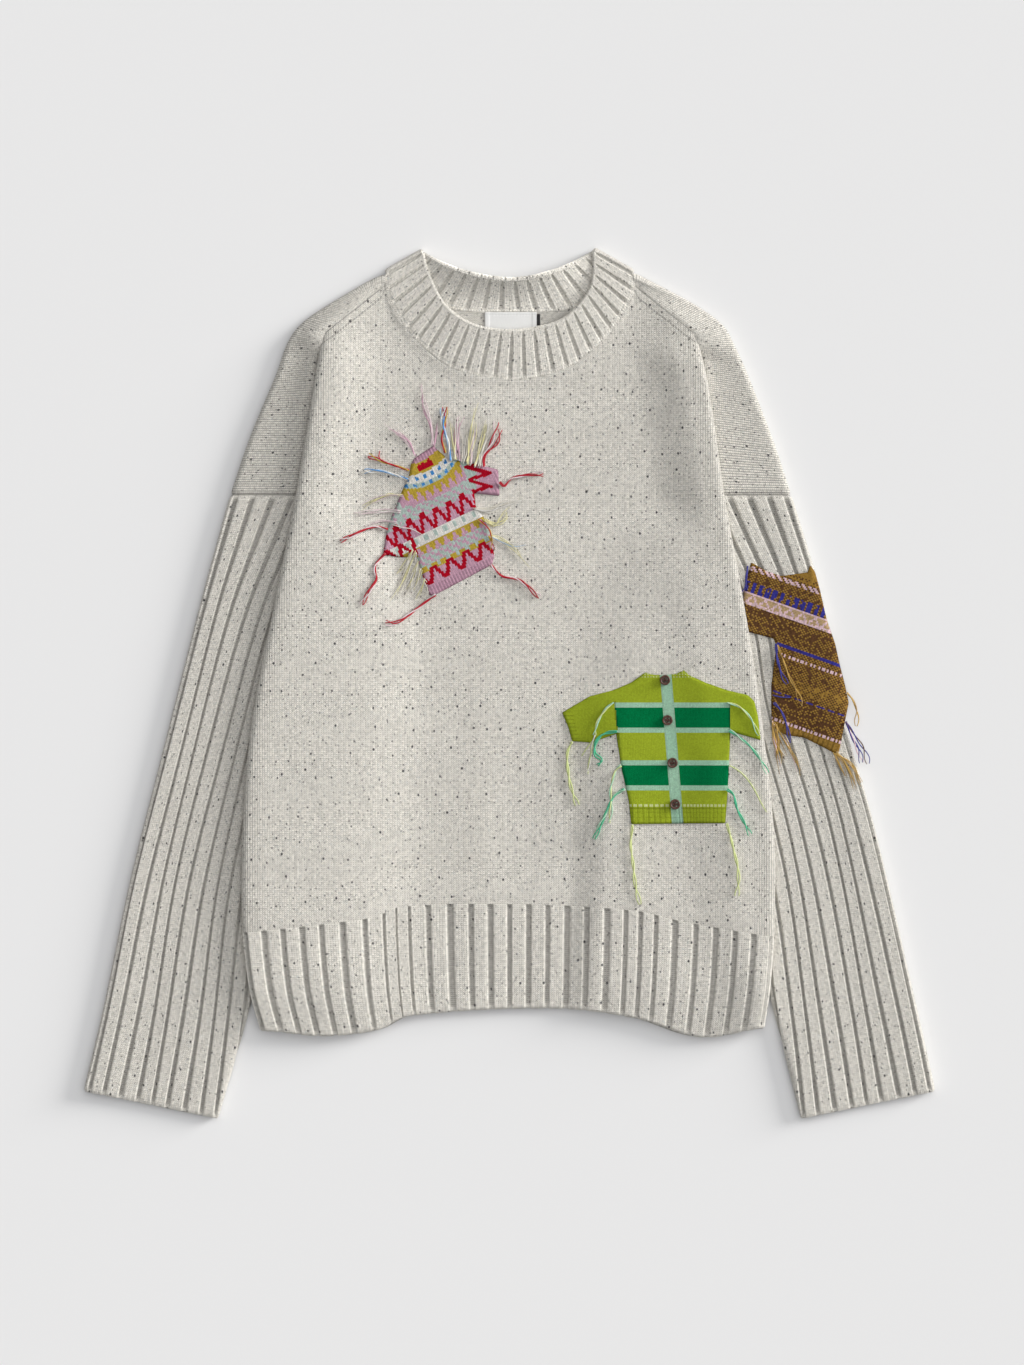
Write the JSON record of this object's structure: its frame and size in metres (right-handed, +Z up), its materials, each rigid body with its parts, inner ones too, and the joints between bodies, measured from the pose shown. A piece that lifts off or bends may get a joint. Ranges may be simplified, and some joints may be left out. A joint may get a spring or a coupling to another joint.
{
  "type": "darned wool sweater",
  "caption": "Oversized ribbed crew-neck wool sweater laid flat, front up, with little knitted sweaters sewn on as darns and their yarn ends left loose.",
  "frame": {"origin": "on the surface that the sweater lies on, under the middle of its outline", "axes": "+Z up off the surface and out of the sweater's front, +Y from hem to neck, +X to the right as seen from above"},
  "size_m": [0.68, 0.6957, 0.0201],
  "materials": {
    "wool_knit": "oatmeal tweed wool with dark flecks, stockinette",
    "wool_rib": "oatmeal tweed wool with dark flecks, wide rib",
    "label_cloth": "smooth woven tape, blank",
    "tab_cloth": "black woven tape",
    "fair_isle_wool": "hand-knitted colour work in pinks, mustard, red and pale green",
    "cardigan_wool": "hand-knitted lime green with mint and dark green stripes",
    "striped_wool": "hand-knitted olive, tan and brown with pink and blue dashes",
    "yarn_ends": "loose two-ply yarn ends in the patches' colours",
    "button": "brown four-hole buttons"
  },
  "bodies": {
    "root": {"back_panel": "wool_knit", "front_panel": "wool_knit", "back_hem_rib": "wool_rib", "front_hem_rib": "wool_rib", "sleeve_left": "wool_rib", "sleeve_right": "wool_rib", "neckband": "wool_rib", "neck_label": "label_cloth", "label_tab": "tab_cloth", "patch_fair_isle": "fair_isle_wool", "patch_cardigan": "cardigan_wool", "patch_striped": "striped_wool", "yarn_ends_fair_isle": "yarn_ends", "yarn_ends_cardigan": "yarn_ends", "yarn_ends_striped": "yarn_ends", "button_1": "button", "button_2": "button", "button_3": "button", "button_4": "button"}
  },
  "joints": []
}
